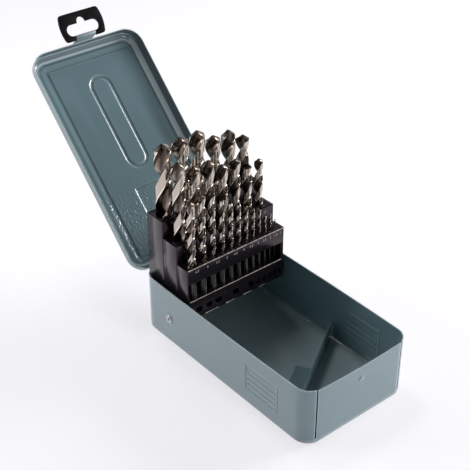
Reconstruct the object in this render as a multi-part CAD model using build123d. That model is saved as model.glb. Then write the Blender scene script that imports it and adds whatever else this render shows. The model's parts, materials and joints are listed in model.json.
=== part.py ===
from build123d import *
import os
from math import asin, ceil, cos, hypot, pi, radians, sin, tan

# Twist drill case: a folded sheet-steel tray with a drawn lid, a stepped rack that
# tilts on two tubular rivets, a swinging hang tab and 25 twist drills, 1 to 13 mm.
# Millimetres.  Origin: middle of the tray's footprint, on the surface it stands on.
# +X points from the hinge to the front, +Z up.  The case is drawn open, rack upright.

# ---------------------------------------------------------------- driving dimensions
tray_length = 185.0          # outside, hinge wall to front wall
tray_width = 98.0            # outside, across the long walls at the floor
tray_height = 46.9
tray_sheet = 0.8
corner_radius = 12.5         # the upright corners, outside
bottom_bend = 1.0            # outside bend between floor and walls
wall_spring = 0.9            # how far the long walls and the front spring out at the rim
seam_from_side = 9.0         # the side walls wrap the front corners up to this seam
seam_gap = 0.7
front_drop = 0.4             # the front wall ends this much below the side walls

grip_start = 30.0            # finger grip, from the tray's middle to its rear groove's middle
grip_length = 33.0           # from its rear groove to its front groove
grip_groove = 1.6            # width of the two upright grooves
grip_margin = 1.0            # between an upright groove and the ribs' ends
grip_bottom = 12.5
grip_ribs = 5
grip_rib_height = 2.4
grip_rib_pitch = 4.8
grip_depth = 0.5

bump_height = 36.5           # snap bump on the front wall, height of its middle
bump_radius = 2.6
bump_rise = 0.7

lid_sheet = 0.7
lid_depth = 10.0
lid_edge_radius = 5.5        # drawn radius between the lid's panel and its rim
lid_rim_gap = 1.2            # from the tray's straight wall line to the rim, inside
lid_back_gap = 0.8           # the same at the hinge wall, which does not spring out
lid_overlap = 5.2            # how far the rim reaches down over the tray when shut
open_angle = 135.6

bead_width = 3.8             # stiffening bead around the lid's panel
bead_rise = 0.6
bead_radius = 5.0            # its corners
bead_from_side = 9.2
bead_from_hinge_end = 8.2
bead_from_free_end = 10.0
pressing_offset = 1.5        # the lid's pressings lie this far towards the far side
badge_length = 83.0          # long round-ended bead, left plain inside
badge_width = 20.5
badge_middle = 25.0
badge_bead_width = 3.0
panel_length = 38.8          # rectangular pressed field near the hinge
panel_width = 32.0
panel_middle = -49.6
panel_corner = 2.0

hinge_knuckle_radius = 1.1
hinge_pin_radius = 0.6
hinge_pin_clearance = 0.05
hinge_play = 0.3             # knuckles to the lid's back wall
hinge_over_rim = 0.2         # pin axis above the lid's rim when shut
leaf_drop = 14.0             # lower edge of the tray's leaf below the pin axis
hinge_width = 66.0
hinge_knuckles = 5
knuckle_gap = 0.4
leaf_sheet = 0.6
stop_lug_width = 8.0
stop_lug_gap = 0.1           # lug to the tray's back wall, lid fully open

rack_back = 6.6              # from the tray's back wall, outside, to the rack's back
rack_step_1 = 25.1           # riser of the back tier
rack_step_2 = 41.3
rack_step_3 = 53.9           # front face of the rack
rack_side_gap = 1.6          # rack to the tray's long walls, at the floor
rack_sheet = 1.0
tier_back_top = 101.9
tier_middle_top = 88.5
tier_front_top = 73.9
tier_skirt = 48.6            # lower edge of the tiers' ends
front_band_bottom = 61.3
tier_gap = 0.5
tier_bend = 1.0
cradle_clearance = 0.1       # between the cradle and the tiers over it
seat_back = 7.5              # underside of the three seats
seat_middle = 17.6
seat_front = 32.3
cradle_apron = 29.4          # lower edge of the cradle's front plate
cradle_lip = 45.7            # its top edge
cradle_top = 62.0
corner_relief = 4.2          # notch at the cradle's lower back corners
guide_sheet = 1.2
guide_hole_sides = 12        # hidden inside the rack, so its holes are twelve-sided
sight_slot_margin = 0.5      # a sight slot is this much wider than its drill, each side
sight_slot_height = 4.6
sight_slot_bottom = 33.7
tip_notch_width = 5.2        # notches in the front plate's lower edge
tip_notch_drills = (5.0, 4.0)
hole_clearance = 0.25        # radial, drill in its holes

pivot_back = 33.7            # rack pivot from the tray's back wall
pivot_height = 21.3
pivot_shank_radius = 2.1
pivot_bore_radius = 1.3
pivot_head_radius = 3.1
pivot_clinch_radius = 2.45   # the rivet's rolled end inside the cradle, clear of its seat
pivot_clinch_rise = 0.6
pivot_head_rise = 0.8
pivot_clearance = 0.05
pivot_boss_radius = 4.8
pivot_boss_rise = 0.45
pivot_boss_depth = 1.2
spacer_radius = 4.2
side_play = 0.1

stop_far_x = 16.0            # diagonal drill stop: where its line meets the far wall
stop_near_x = 77.0           # and the near wall
stop_height = 15.5
stop_foot = 16.5
stop_foot_length = 70.0
stop_end_gap = 1.0

rest_gap = 0.1               # rest to the cradle's back seat
rest_width = 58.0
rest_flange = 5.0

tongue_width = 18.0          # spring tongue on the lid's front rim
tongue_sheet = 0.7
tongue_reach = 7.7           # curl's middle below the shut lid's rim
curl_radius = 1.6
curl_bore = 0.9
tongue_lap = 2.8             # how far the tongue laps up the rim

hanger_width = 38.9
hanger_reach = 19.5          # pivot to the far edge
hanger_heel = 2.4            # pivot to the near edge
hanger_thickness = 2.2
hanger_swell = 2.0           # how far the sides curve out
hanger_corner = 2.5
hanger_end_gap = 0.3
hanger_lean = 13.7           # degrees that the tab hangs back from in line with the lid
euro_half_width = 14.9
euro_lobe_radius = 4.6
euro_lobe_reach = 5.9
euro_peak_radius = 4.0
euro_peak_reach = 11.0
stub_length = 3.0
stub_clearance = 0.06

# drill diameter: overall length, flute length
drills_back = {13.0: (151, 101), 12.5: (151, 101), 12.0: (151, 101),
               11.5: (142, 94), 11.0: (142, 94), 10.5: (133, 87)}
drills_middle = {10.0: (133, 87), 9.5: (125, 81), 9.0: (125, 81), 8.5: (117, 75),
                 8.0: (117, 75), 7.5: (109, 69), 7.0: (109, 69)}
drills_front = {6.5: (93, 57), 6.0: (95, 57), 5.5: (93, 57), 5.0: (86, 52),
                4.5: (80, 47), 4.0: (75, 43), 3.5: (70, 39), 3.0: (61, 33),
                2.5: (57, 30), 2.0: (49, 24), 1.5: (40, 18), 1.0: (34, 12)}
row_back_shift = -0.44       # how far each row lies off the middle, in gaps between drills
row_middle_shift = 0.0
row_front_shift = 0.34
small_seat_rise = 4.0        # raised strip under the 3, 2.5 and 2 mm drills
on_small_seat = (3.0, 2.5, 2.0)
on_guide = (1.5, 1.0)        # these two stand on the guide plate
helix_angle = 30.0
point_angle = 118.0
web_share = 0.34             # half the web over the drill's radius
land_half_angle = 38.0
twist_step = 60.0            # turn between two sections of a flute
chisel_share = 0.12

# ---------------------------------------------------------------- derived places
back_x = -tray_length / 2
front_x = tray_length / 2
side_y = tray_width / 2
lid_rim_z = tray_height - lid_overlap
hinge_out = lid_back_gap + lid_sheet + hinge_play + hinge_knuckle_radius
hinge_x = back_x - hinge_out
hinge_z = lid_rim_z + hinge_over_rim
hinge_axis = Axis((hinge_x, 0, hinge_z), (0, -1, 0))
lid_back_x = back_x - lid_back_gap - lid_sheet
lid_front_x = front_x + lid_rim_gap + lid_sheet
lid_side_y = side_y + lid_rim_gap + lid_sheet
pivot_x = back_x + pivot_back
rack_width = tray_width - 2 * (tray_sheet + rack_side_gap)
cradle_side = rack_width / 2 - rack_sheet - cradle_clearance
cradle_back = back_x + rack_back + rack_sheet + cradle_clearance
cradle_front = back_x + rack_step_3
inside_front = cradle_front - rack_sheet
step_1 = back_x + rack_step_1
step_2 = back_x + rack_step_2 + tier_gap
curl_x = lid_front_x + curl_radius
curl_z = lid_rim_z - tongue_reach

parts = {}


def block(x0, x1, y0, y1, z0, z1):
    """A box given by its six planes."""
    size = Box(x1 - x0, y1 - y0, z1 - z0)
    return Pos((x0 + x1) / 2, (y0 + y1) / 2, (z0 + z1) / 2) * size


def upright(x, y, z0, z1, radius):
    """An upright cylinder from z0 to z1."""
    return Pos(x, y, (z0 + z1) / 2) * Cylinder(radius, z1 - z0)


def crosswise(x, z, y0, y1, radius):
    """A cylinder along Y from y0 to y1."""
    return Pos(x, (y0 + y1) / 2, z) * Rot(90, 0, 0) * Cylinder(radius, y1 - y0)


def side_profile(points, y0, y1):
    """A closed outline in X and Z, extruded along Y from y0 to y1."""
    face = make_face(Polyline(*[(x, 0, z) for x, z in points], close=True))
    return Pos(0, y0, 0) * extrude(face, amount=y1 - y0, dir=(0, 1, 0))


def dimple(face_x, z, radius, depth):
    """A round cap that rises towards +X from a sheet's face, with a root as deep as depth."""
    ball = (radius ** 2 + bump_rise ** 2) / (2 * bump_rise)
    middle_x = face_x + bump_rise - ball
    half = asin(radius / ball) / 2
    arc = ThreePointArc((face_x, radius), (middle_x + ball * cos(half), ball * sin(half)),
                        (face_x + bump_rise, 0))
    back = Polyline((face_x + bump_rise, 0), (face_x - depth / 2, 0),
                    (face_x - depth / 2, radius), (face_x, radius))
    return Pos(0, 0, z) * revolve(make_face([arc, back]), Axis.X)


def both_sides(shape):
    """The shape and its mirror image across the case."""
    return [shape, mirror(shape, about=Plane.XZ)]


# ---------------------------------------------------------------- tray
def tray_outline(z, inset, bend_inset=0.0):
    """The tray's plan at height z: long walls and front bowed, back wall straight."""
    cut = inset + bend_inset
    hx = tray_length / 2 - cut
    hy = tray_width / 2 - cut
    r = corner_radius - cut
    bow = max(wall_spring * z / tray_height, 0.02)
    k = r * (1 - sin(pi / 4))
    near = ThreePointArc((-hx + r, -hy), (0, -hy - bow), (hx - r, -hy))
    near_front = ThreePointArc((hx - r, -hy), (hx - k, -hy + k), (hx, -hy + r))
    front = ThreePointArc((hx, -hy + r), (hx + bow, 0), (hx, hy - r))
    far_front = ThreePointArc((hx, hy - r), (hx - k, hy - k), (hx - r, hy))
    far = ThreePointArc((hx - r, hy), (0, hy + bow), (-hx + r, hy))
    far_back = ThreePointArc((-hx + r, hy), (-hx + k, hy - k), (-hx, hy - r))
    back = Line((-hx, hy - r), (-hx, -hy + r))
    near_back = ThreePointArc((-hx, -hy + r), (-hx + k, -hy + k), (-hx + r, -hy))
    edges = [near, near_front, front, far_front, far, far_back, back, near_back]
    return Pos(0, 0, z) * make_face(edges)


def tray_body_form(inset, bottom, top):
    """Solid form of the tray drawn in by inset, with the bend round its bottom."""
    levels = [(bottom, 0.8), (bottom + 0.3, 0.3), (bottom + 1.0, 0.0)]
    sections = [tray_outline(bottom + (z - bottom) * bottom_bend, inset, share * bottom_bend)
                for z, share in levels]
    sections.append(tray_outline(top, inset))
    return loft(sections, ruled=True)


outer_form = tray_body_form(0, 0, tray_height)
tray = outer_form - tray_body_form(tray_sheet, tray_sheet, tray_height + 2)

# finger grips: ribs between two upright grooves, pressed into both long walls so that
# they sink in outside and stand up inside
groove_skin = outer_form - tray_body_form(grip_depth, -5, tray_height + 2)
ridge_skin = tray_body_form(tray_sheet, -5, tray_height) - tray_body_form(
    tray_sheet + grip_depth, -10, tray_height + 2)
grip_end = grip_start + grip_length
grip_top = grip_bottom + (grip_ribs - 1) * grip_rib_pitch + grip_rib_height
rib_inset = grip_groove / 2 + grip_margin
grip_bars = []
for middle in (grip_start, grip_end):
    bar = block(middle - grip_groove / 2, middle + grip_groove / 2, -side_y - 5, -side_y + 5,
                grip_bottom, grip_top)
    grip_bars += both_sides(bar)
for rib in range(grip_ribs):
    low = grip_bottom + rib * grip_rib_pitch
    bar = block(grip_start + rib_inset, grip_end - rib_inset, -side_y - 5, -side_y + 5,
                low, low + grip_rib_height)
    grip_bars += both_sides(bar)
tray = tray - [groove_skin & bar for bar in grip_bars]
tray = tray + [ridge_skin & bar for bar in grip_bars]

# seams where the side walls' ends meet the front wall
seam_y = side_y - seam_from_side
for side in (-1, 1):
    tray -= block(front_x - 3, front_x + 3, side * seam_y - seam_gap / 2,
                  side * seam_y + seam_gap / 2, 2 * tray_sheet, tray_height + 2)
tray -= block(front_x - 3, front_x + 3, -seam_y, seam_y, tray_height - front_drop,
              tray_height + 2)

# snap bump, a round dimple pressed outwards
front_wall_x = front_x + wall_spring * bump_height / tray_height
tray += dimple(front_wall_x, bump_height, bump_radius, tray_sheet)
tray -= dimple(front_wall_x - tray_sheet, bump_height, bump_radius - tray_sheet / 2, tray_sheet)

# flat bosses and holes for the rack's pivot rivets
boss_outer = side_y + pivot_boss_rise
boss_inner = boss_outer - pivot_boss_depth
boss = crosswise(pivot_x, pivot_height, -boss_outer, -boss_inner, pivot_boss_radius)
tray = tray + both_sides(boss)
tray -= crosswise(pivot_x, pivot_height, -side_y - 5, side_y + 5, pivot_shank_radius)
parts["tray_body"] = tray

# ---------------------------------------------------------------- diagonal drill stop
stop_run_y = 2 * (side_y - tray_sheet)
stop_run_x = stop_near_x - stop_far_x
stop_length = hypot(stop_run_x, stop_run_y)
stop_dir_x = stop_run_x / stop_length
stop_dir_y = -stop_run_y / stop_length
end_cut = (stop_end_gap + tray_sheet * stop_dir_x) / abs(stop_dir_y)
foot_slant = stop_foot * stop_run_x / stop_run_y
stop_plane = Plane(origin=(stop_far_x, side_y - tray_sheet, tray_sheet),
                   x_dir=(stop_dir_x, stop_dir_y, 0), z_dir=(0, 0, 1))
stop_end = stop_length - end_cut
stop_blade = block(end_cut, stop_end, -tray_sheet, 0, 0, stop_height)
foot_plan = Polyline((stop_end, 0), (stop_end - stop_foot_length, 0),
                     (stop_end - stop_foot_length, -stop_foot),
                     (stop_end - foot_slant, -stop_foot), close=True)
stop_base = extrude(make_face(foot_plan), amount=tray_sheet)
parts["drill_stop"] = stop_plane * (stop_blade + stop_base)

# ---------------------------------------------------------------- rest under the rack
rest_x = back_x + rack_back + 4
rest_top = seat_back - rest_gap
rest_points = [(rest_x, tray_sheet), (rest_x + rest_flange, tray_sheet),
               (rest_x + rest_flange, rest_top - tray_sheet),
               (rest_x + 2 * rest_flange, rest_top - tray_sheet),
               (rest_x + 2 * rest_flange, rest_top),
               (rest_x + rest_flange - tray_sheet, rest_top),
               (rest_x + rest_flange - tray_sheet, 2 * tray_sheet),
               (rest_x, 2 * tray_sheet)]
parts["rack_rest"] = side_profile(rest_points, -rest_width / 2, rest_width / 2)

# ---------------------------------------------------------------- pivot rivets, spacers
ear_outer = cradle_side
ear_inner = ear_outer - rack_sheet
clinch_face = ear_inner - side_play
clinch_end = clinch_face - pivot_clinch_rise
rivet = crosswise(pivot_x, pivot_height, clinch_end, boss_outer + pivot_head_rise,
                  pivot_shank_radius - pivot_clearance)
rivet += crosswise(pivot_x, pivot_height, boss_outer, boss_outer + pivot_head_rise,
                   pivot_head_radius)
rivet += crosswise(pivot_x, pivot_height, clinch_end, clinch_face, pivot_clinch_radius)
rivet -= crosswise(pivot_x, pivot_height, 0, side_y + 5, pivot_bore_radius)
parts["pivot_rivets"] = Compound(both_sides(rivet))

spacer = crosswise(pivot_x, pivot_height, ear_outer + side_play, boss_inner, spacer_radius)
spacer -= crosswise(pivot_x, pivot_height, 0, side_y + 5, pivot_shank_radius)
parts["pivot_spacers"] = Compound(both_sides(spacer))

# ---------------------------------------------------------------- hinge
knuckle_pitch = hinge_width / hinge_knuckles
stop_lug_turn = radians(open_angle - 180)
stop_lug_reach = (hinge_out - stop_lug_gap - leaf_sheet * sin(-stop_lug_turn)) / cos(stop_lug_turn)
knuckle_edges = []
for index in range(hinge_knuckles):
    low = -hinge_width / 2 + index * knuckle_pitch + knuckle_gap / 2
    knuckle_edges.append((low, low + knuckle_pitch - knuckle_gap))
tray_knuckles = knuckle_edges[0::2]
lid_knuckles = knuckle_edges[1::2]
hinge_bore = hinge_pin_radius + hinge_pin_clearance
strap_z = hinge_z - hinge_pin_radius - 0.1
leaf_face = back_x - leaf_sheet
leaf_bottom = hinge_z - leaf_drop
strap_points = [(hinge_x - 0.3, strap_z), (back_x, strap_z), (back_x, leaf_bottom),
                (leaf_face, leaf_bottom), (leaf_face, strap_z - leaf_sheet),
                (hinge_x - 0.3, hinge_z - hinge_knuckle_radius)]
leaf_top = hinge_z - hypot(stop_lug_reach, leaf_sheet) + 0.4
tray_leaf = block(leaf_face, back_x, -hinge_width / 2, hinge_width / 2, leaf_bottom, leaf_top)
for low, high in tray_knuckles:
    tray_leaf += side_profile(strap_points, low, high)
    tray_leaf += crosswise(hinge_x, hinge_z, low, high, hinge_knuckle_radius)
tray_leaf -= crosswise(hinge_x, hinge_z, -side_y, side_y, hinge_bore)
parts["tray_hinge_leaf"] = tray_leaf

hinge_pin = crosswise(hinge_x, hinge_z, -hinge_width / 2 - 0.8, hinge_width / 2 + 0.8,
                      hinge_pin_radius)
pin_heads = [crosswise(hinge_x, hinge_z, hinge_width / 2 + 0.1, hinge_width / 2 + 0.9,
                       hinge_knuckle_radius)]
pin_heads.append(mirror(pin_heads[0], about=Plane.XZ))
parts["hinge_pin"] = hinge_pin + pin_heads

# lid side, drawn shut: strip on the rim, knuckles and the lugs that stop the lid
clear_of_knuckle = hinge_knuckle_radius + hinge_play
lid_leaf = block(lid_back_x - leaf_sheet, lid_back_x, -hinge_width / 2, hinge_width / 2,
                 hinge_z + clear_of_knuckle, lid_rim_z + lid_depth - lid_edge_radius)
for low, high in lid_knuckles:
    lid_leaf += block(lid_back_x - leaf_sheet, lid_back_x, low, high,
                      hinge_z - leaf_sheet, hinge_z + clear_of_knuckle)
    lid_leaf += crosswise(hinge_x, hinge_z, low, high, hinge_knuckle_radius)
    middle = (low + high) / 2
    lid_leaf += block(hinge_x - stop_lug_reach, hinge_x - 0.7, middle - stop_lug_width / 2,
                      middle + stop_lug_width / 2, hinge_z - leaf_sheet, hinge_z)
lid_leaf -= crosswise(hinge_x, hinge_z, -side_y, side_y, hinge_bore)

# ---------------------------------------------------------------- lid, drawn shut
lid_middle_x = (lid_back_x + lid_front_x) / 2


def lid_form(inset, top, edge_radius):
    """The lid's solid form drawn in by inset, with its top edge rounded."""
    length = lid_front_x - lid_back_x - 2 * inset
    width = 2 * (lid_side_y - inset)
    radius = corner_radius + lid_rim_gap + lid_sheet - inset
    plan = Pos(lid_middle_x, 0, lid_rim_z) * RectangleRounded(length, width, radius)
    solid = extrude(plan, amount=top - lid_rim_z)
    rim = solid.faces().sort_by(Axis.Z)[-1].edges()
    return fillet(rim, edge_radius)


def ring_band(length, width, radius, middle, band, z0, z1):
    """A flat closed band: a rounded rectangle less the same one drawn in."""
    outside = RectangleRounded(length, width, radius)
    inside = RectangleRounded(length - 2 * band, width - 2 * band, radius - band)
    return Pos(middle, pressing_offset, z0) * extrude(outside - inside, amount=z1 - z0)


lid_top = lid_rim_z + lid_depth
lid_under = lid_top - lid_sheet
lid = lid_form(0, lid_top, lid_edge_radius)
lid -= lid_form(lid_sheet, lid_under, lid_edge_radius - lid_sheet)
bead_length = lid_front_x - lid_back_x - bead_from_hinge_end - bead_from_free_end
bead_middle = lid_middle_x + (bead_from_hinge_end - bead_from_free_end) / 2
bead_span = 2 * (lid_side_y - bead_from_side)
pressed = [(bead_length, bead_span, bead_radius, bead_middle, bead_width),
           (badge_length, badge_width, badge_width / 2 - 0.01, badge_middle, badge_bead_width)]
for length, width, radius, middle, band in pressed:
    lid += ring_band(length, width, radius, middle, band, lid_top - 0.1, lid_top + bead_rise)
    lid -= ring_band(length - 2 * lid_sheet, width - 2 * lid_sheet, radius - lid_sheet, middle,
                     band - 2 * lid_sheet, lid_under - 1, lid_under + bead_rise)
panel_plan = RectangleRounded(panel_length, panel_width, panel_corner)
panel_inner = RectangleRounded(panel_length - 2 * lid_sheet, panel_width - 2 * lid_sheet,
                               panel_corner - lid_sheet)
panel_place = Pos(panel_middle, pressing_offset, 0)
lid += panel_place * Pos(0, 0, lid_top - 0.1) * extrude(panel_plan, amount=bead_rise + 0.1)
lid -= panel_place * Pos(0, 0, lid_under - 1) * extrude(panel_inner, amount=bead_rise + 1)

# spring tongue lapped on the front rim, curled round the hang tab's stubs
tongue_out = lid_front_x + tongue_sheet
tongue = block(lid_front_x, tongue_out, -tongue_width / 2, tongue_width / 2,
               curl_z, lid_rim_z + tongue_lap)
tongue += crosswise(curl_x, curl_z, -tongue_width / 2, tongue_width / 2, curl_radius)
tongue -= crosswise(curl_x, curl_z, -tongue_width, tongue_width, curl_bore)


# ---------------------------------------------------------------- hang tab, lid shut
def hang_tab():
    """Flat moulding in X and Y with a hanging hole that opens towards the tongue."""
    near_x = -hanger_heel
    far_x = hanger_reach
    half = hanger_width / 2 - hanger_swell
    middle_x = (near_x + far_x) / 2
    outline = [Line((near_x, -half), (near_x, half)),
               ThreePointArc((near_x, half), (middle_x, half + hanger_swell), (far_x, half)),
               Line((far_x, half), (far_x, -half)),
               ThreePointArc((far_x, -half), (middle_x, -half - hanger_swell), (near_x, -half))]
    tab = extrude(make_face(outline), amount=hanger_thickness)
    tab = fillet(tab.edges().filter_by(Axis.Z), hanger_corner)
    lobe_y = euro_half_width - euro_lobe_radius
    window = Pos(euro_lobe_reach, 0, 0) * Box(2 * euro_lobe_radius, 2 * lobe_y, 20)
    for side in (-1, 1):
        window += Pos(euro_lobe_reach, side * lobe_y, 0) * Cylinder(euro_lobe_radius, 20)
    window += Pos(euro_peak_reach, 0, 0) * Cylinder(euro_peak_radius, 20)
    mouth = tongue_width / 2 + hanger_end_gap
    window += Pos(euro_lobe_reach - 10, 0, 0) * Box(20, 2 * mouth, 20)
    tab = Pos(0, 0, -hanger_thickness / 2) * tab - window
    stub_radius = curl_bore - stub_clearance
    for side in (-1, 1):
        low, high = sorted((side * (mouth + 1.5), side * (mouth - stub_length)))
        tab += crosswise(0, 0, low, high, stub_radius)
    return tab


hanger = Pos(curl_x, 0, curl_z) * Rot(0, hanger_lean, 0) * hang_tab()
for name, shape in (("lid_pan", lid), ("lid_hinge_leaf", lid_leaf),
                    ("hanger_tongue", tongue), ("hanger", hanger)):
    parts[name] = shape.rotate(hinge_axis, open_angle)


# ---------------------------------------------------------------- drill places
def spread(sizes, shift):
    """Middles of the drills across the rack, with equal webs, moved by shift of a web."""
    inside = rack_width - 2 * rack_sheet
    web = (inside - sum(sizes)) / (len(sizes) + 1)
    places = []
    edge = -inside / 2 + shift * web
    for size in sizes:
        edge += web
        places.append(edge + size / 2)
        edge += size
    return places


row_back_x = (cradle_back + step_1) / 2
row_middle_x = (step_1 + step_2 - rack_sheet) / 2
row_front_x = (step_2 + inside_front) / 2
drill_list = []
for row, row_x, shift, floor in ((drills_back, row_back_x, row_back_shift, seat_back),
                                 (drills_middle, row_middle_x, row_middle_shift, seat_middle),
                                 (drills_front, row_front_x, row_front_shift, seat_front)):
    for size, y in zip(row, spread(list(row), shift)):
        overall, flute = row[size]
        foot = floor + rack_sheet
        if size in on_small_seat:
            foot += small_seat_rise
        if size in on_guide:
            foot = cradle_lip
        drill_list.append((size, overall, flute, row_x, y, foot))


# ---------------------------------------------------------------- rack
def tier(x0, x1, top, band_bottom, sizes, closed_back):
    """One step of the rack: a folded cover, open below, with a band across its front."""
    half = rack_width / 2
    cover = block(x0, x1, -half, half, tier_skirt, top)
    front_edges = cover.edges().filter_by(Axis.Z).group_by(Axis.X)[-1]
    cover = fillet(front_edges, tier_bend)
    inner_x0 = x0 + rack_sheet if closed_back else x0 - 5
    cover -= block(inner_x0, x1 - rack_sheet, -half + rack_sheet, half - rack_sheet,
                   tier_skirt - 5, top - rack_sheet)
    cover -= block(x1 - rack_sheet - 1, x1 + 5, -half + rack_sheet, half - rack_sheet,
                   tier_skirt - 5, band_bottom)
    for size, _, _, x, y, foot in drill_list:
        if size in sizes:
            cover -= upright(x, y, top - 3, top + 3, size / 2 + hole_clearance)
    return cover


parts["tier_back"] = tier(back_x + rack_back, back_x + rack_step_1, tier_back_top,
                          tier_middle_top - 3, drills_back, True)
parts["tier_middle"] = tier(back_x + rack_step_1 + tier_gap, back_x + rack_step_2,
                            tier_middle_top, tier_front_top - 3, drills_middle, False)
parts["tier_front"] = tier(back_x + rack_step_2 + tier_gap, back_x + rack_step_3,
                           tier_front_top, front_band_bottom, drills_front, False)

# cradle: stepped trough with three seats, ends and a front plate, one folded sheet
ear_front = inside_front - cradle_clearance
cradle_outer = [(cradle_back, seat_back), (step_1, seat_back), (step_1, seat_middle),
                (step_2, seat_middle), (step_2, seat_front), (inside_front, seat_front),
                (inside_front, cradle_apron), (cradle_front, cradle_apron),
                (cradle_front, cradle_lip), (ear_front, cradle_lip),
                (ear_front, cradle_top), (cradle_back, cradle_top)]
cradle_inner = [(cradle_back + rack_sheet, seat_back + rack_sheet),
                (step_1 - rack_sheet, seat_back + rack_sheet),
                (step_1 - rack_sheet, seat_middle + rack_sheet),
                (step_2 - rack_sheet, seat_middle + rack_sheet),
                (step_2 - rack_sheet, seat_front + rack_sheet),
                (inside_front, seat_front + rack_sheet),
                (inside_front, cradle_top + 5), (cradle_back + rack_sheet, cradle_top + 5)]
cradle = side_profile(cradle_outer, -cradle_side, cradle_side)
cradle -= side_profile(cradle_inner, -ear_inner, ear_inner)
cradle -= crosswise(pivot_x, pivot_height, -side_y, side_y, pivot_shank_radius)
relief = block(cradle_back - 1, cradle_back + corner_relief, cradle_side - 2.1, cradle_side + 1,
               seat_back - 1, seat_back + corner_relief)
cradle = cradle - both_sides(relief)
for size, _, _, x, y, foot in drill_list:
    if size in tip_notch_drills:
        cradle -= block(inside_front, cradle_front + 1, y - tip_notch_width / 2,
                        y + tip_notch_width / 2, cradle_apron - 1, seat_front)
    elif size in drills_front:
        half_slot = size / 2 + sight_slot_margin
        cradle -= block(inside_front - 1, cradle_front + 1, y - half_slot, y + half_slot,
                        sight_slot_bottom, sight_slot_bottom + sight_slot_height)
parts["rack_cradle"] = cradle

guide = block(cradle_back + rack_sheet, inside_front, -ear_inner, ear_inner,
              cradle_lip - guide_sheet, cradle_lip)
for size, _, _, x, y, foot in drill_list:
    if size not in on_guide:
        hole = RegularPolygon(size / 2 + hole_clearance, guide_hole_sides, major_radius=False)
        guide -= Pos(x, y, cradle_lip - 5) * extrude(hole, amount=10)
parts["guide_plate"] = guide

small_places = [item for item in drill_list if item[0] in on_small_seat]
strip_low = min(y - size / 2 for size, _, _, x, y, foot in small_places) - 1
strip_high = max(y + size / 2 for size, _, _, x, y, foot in small_places) + 1
parts["small_drill_seat"] = block(step_2 + 0.2, inside_front - 0.2, strip_low, strip_high,
                                  seat_front + rack_sheet,
                                  seat_front + rack_sheet + small_seat_rise)


# ---------------------------------------------------------------- twist drills
def flute_section(radius, turn, z):
    """Corners of the cross-section, two lands and two flutes, turned about its middle."""
    corners = []
    for half_turn in (0, 180):
        for angle, reach in ((-land_half_angle, 1), (0, 1), (land_half_angle, 1),
                             (90, web_share)):
            a = radians(angle + half_turn + turn)
            corners.append(Vector(radius * reach * cos(a), radius * reach * sin(a), z))
    return corners


def flat_face(*corners):
    """A flat face with straight edges."""
    return Face(Wire.make_polygon(corners, close=True))


def twist_drill(size, overall, flute):
    """Plain shank, two helical flutes and a chisel point; the shank stands on z = 0."""
    radius = size / 2
    point = radius / tan(radians(point_angle / 2))
    flute_start = overall - flute
    twisted = overall - point - flute_start
    turn_per_mm = 360 * tan(radians(helix_angle)) / (pi * size)
    steps = ceil(twisted * turn_per_mm / twist_step)
    levels = [flute_start + twisted * step / steps for step in range(steps + 1)]
    sections = [flute_section(radius, turn_per_mm * (z - flute_start), z) for z in levels]
    last_turn = turn_per_mm * (overall - flute_start)
    sections.append(flute_section(radius * chisel_share, last_turn, overall))
    skin = [flat_face(*reversed(sections[0])), flat_face(*sections[-1])]
    for lower, upper in zip(sections, sections[1:]):
        for here in range(len(lower)):
            after = (here + 1) % len(lower)
            skin.append(flat_face(lower[here], lower[after], upper[here]))
            skin.append(flat_face(lower[after], upper[after], upper[here]))
    fluted = Solid(Shell(skin))
    return upright(0, 0, 0, flute_start, radius) + fluted


for size, overall, flute, x, y, foot in drill_list:
    name = "drill_" + str(size).replace(".", "_")
    parts[name] = Pos(x, y, foot) * twist_drill(size, overall, flute)

# ---------------------------------------------------------------- write the parts
os.makedirs("parts", exist_ok=True)
for name, shape in parts.items():
    export_step(shape, f"parts/{name}.step")
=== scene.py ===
import bmesh
import bpy
import json
import math
from mathutils import Matrix, Vector


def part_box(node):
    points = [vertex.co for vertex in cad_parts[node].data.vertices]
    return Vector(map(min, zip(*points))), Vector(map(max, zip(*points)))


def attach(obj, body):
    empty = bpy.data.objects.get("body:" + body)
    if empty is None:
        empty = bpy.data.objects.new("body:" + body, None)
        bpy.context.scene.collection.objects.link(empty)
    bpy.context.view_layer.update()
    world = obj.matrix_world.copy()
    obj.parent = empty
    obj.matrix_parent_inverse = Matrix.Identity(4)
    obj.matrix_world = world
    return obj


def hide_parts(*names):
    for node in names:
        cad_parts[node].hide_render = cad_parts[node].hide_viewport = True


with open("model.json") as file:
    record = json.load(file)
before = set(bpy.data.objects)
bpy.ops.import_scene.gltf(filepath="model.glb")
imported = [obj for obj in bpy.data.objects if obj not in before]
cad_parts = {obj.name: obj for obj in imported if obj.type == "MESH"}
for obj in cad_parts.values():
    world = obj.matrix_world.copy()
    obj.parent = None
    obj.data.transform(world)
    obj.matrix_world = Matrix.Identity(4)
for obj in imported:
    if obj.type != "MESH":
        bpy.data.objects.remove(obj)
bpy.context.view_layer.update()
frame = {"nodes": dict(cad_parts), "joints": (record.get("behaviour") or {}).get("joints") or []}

# ------------------------------------------------------------------ tray
# A shallow tray folded from 0.8 mm sheet steel.  The long walls wrap round the front
# corners and end at two open seams; the walls spring out a little at the rim.  Grip
# ribs, rivet bosses and a snap bump are pressed in, then the whole is enamelled.
mm = 0.001
sheet = 0.8 * mm
rim_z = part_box("tray_body")[1].z
half_length, half_width = 92.5 * mm, 49.0 * mm
corner = 12.5 * mm
floor_bend = 1.0 * mm
spring = 0.9 * mm
seam_y, seam_half, seam_foot = 40.0 * mm, 0.45 * mm, 1.5 * mm
front_drop = 0.4 * mm
pivot = Vector((-58.8 * mm, 0, 21.3 * mm))
bump_z, bump_radius, bump_rise = 36.5 * mm, 2.6 * mm, 0.7 * mm
boss_radius, boss_rise = 4.8 * mm, 0.3 * mm
grip_x, grip_length, grip_z = 30 * mm, 33 * mm, 12.5 * mm
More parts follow.
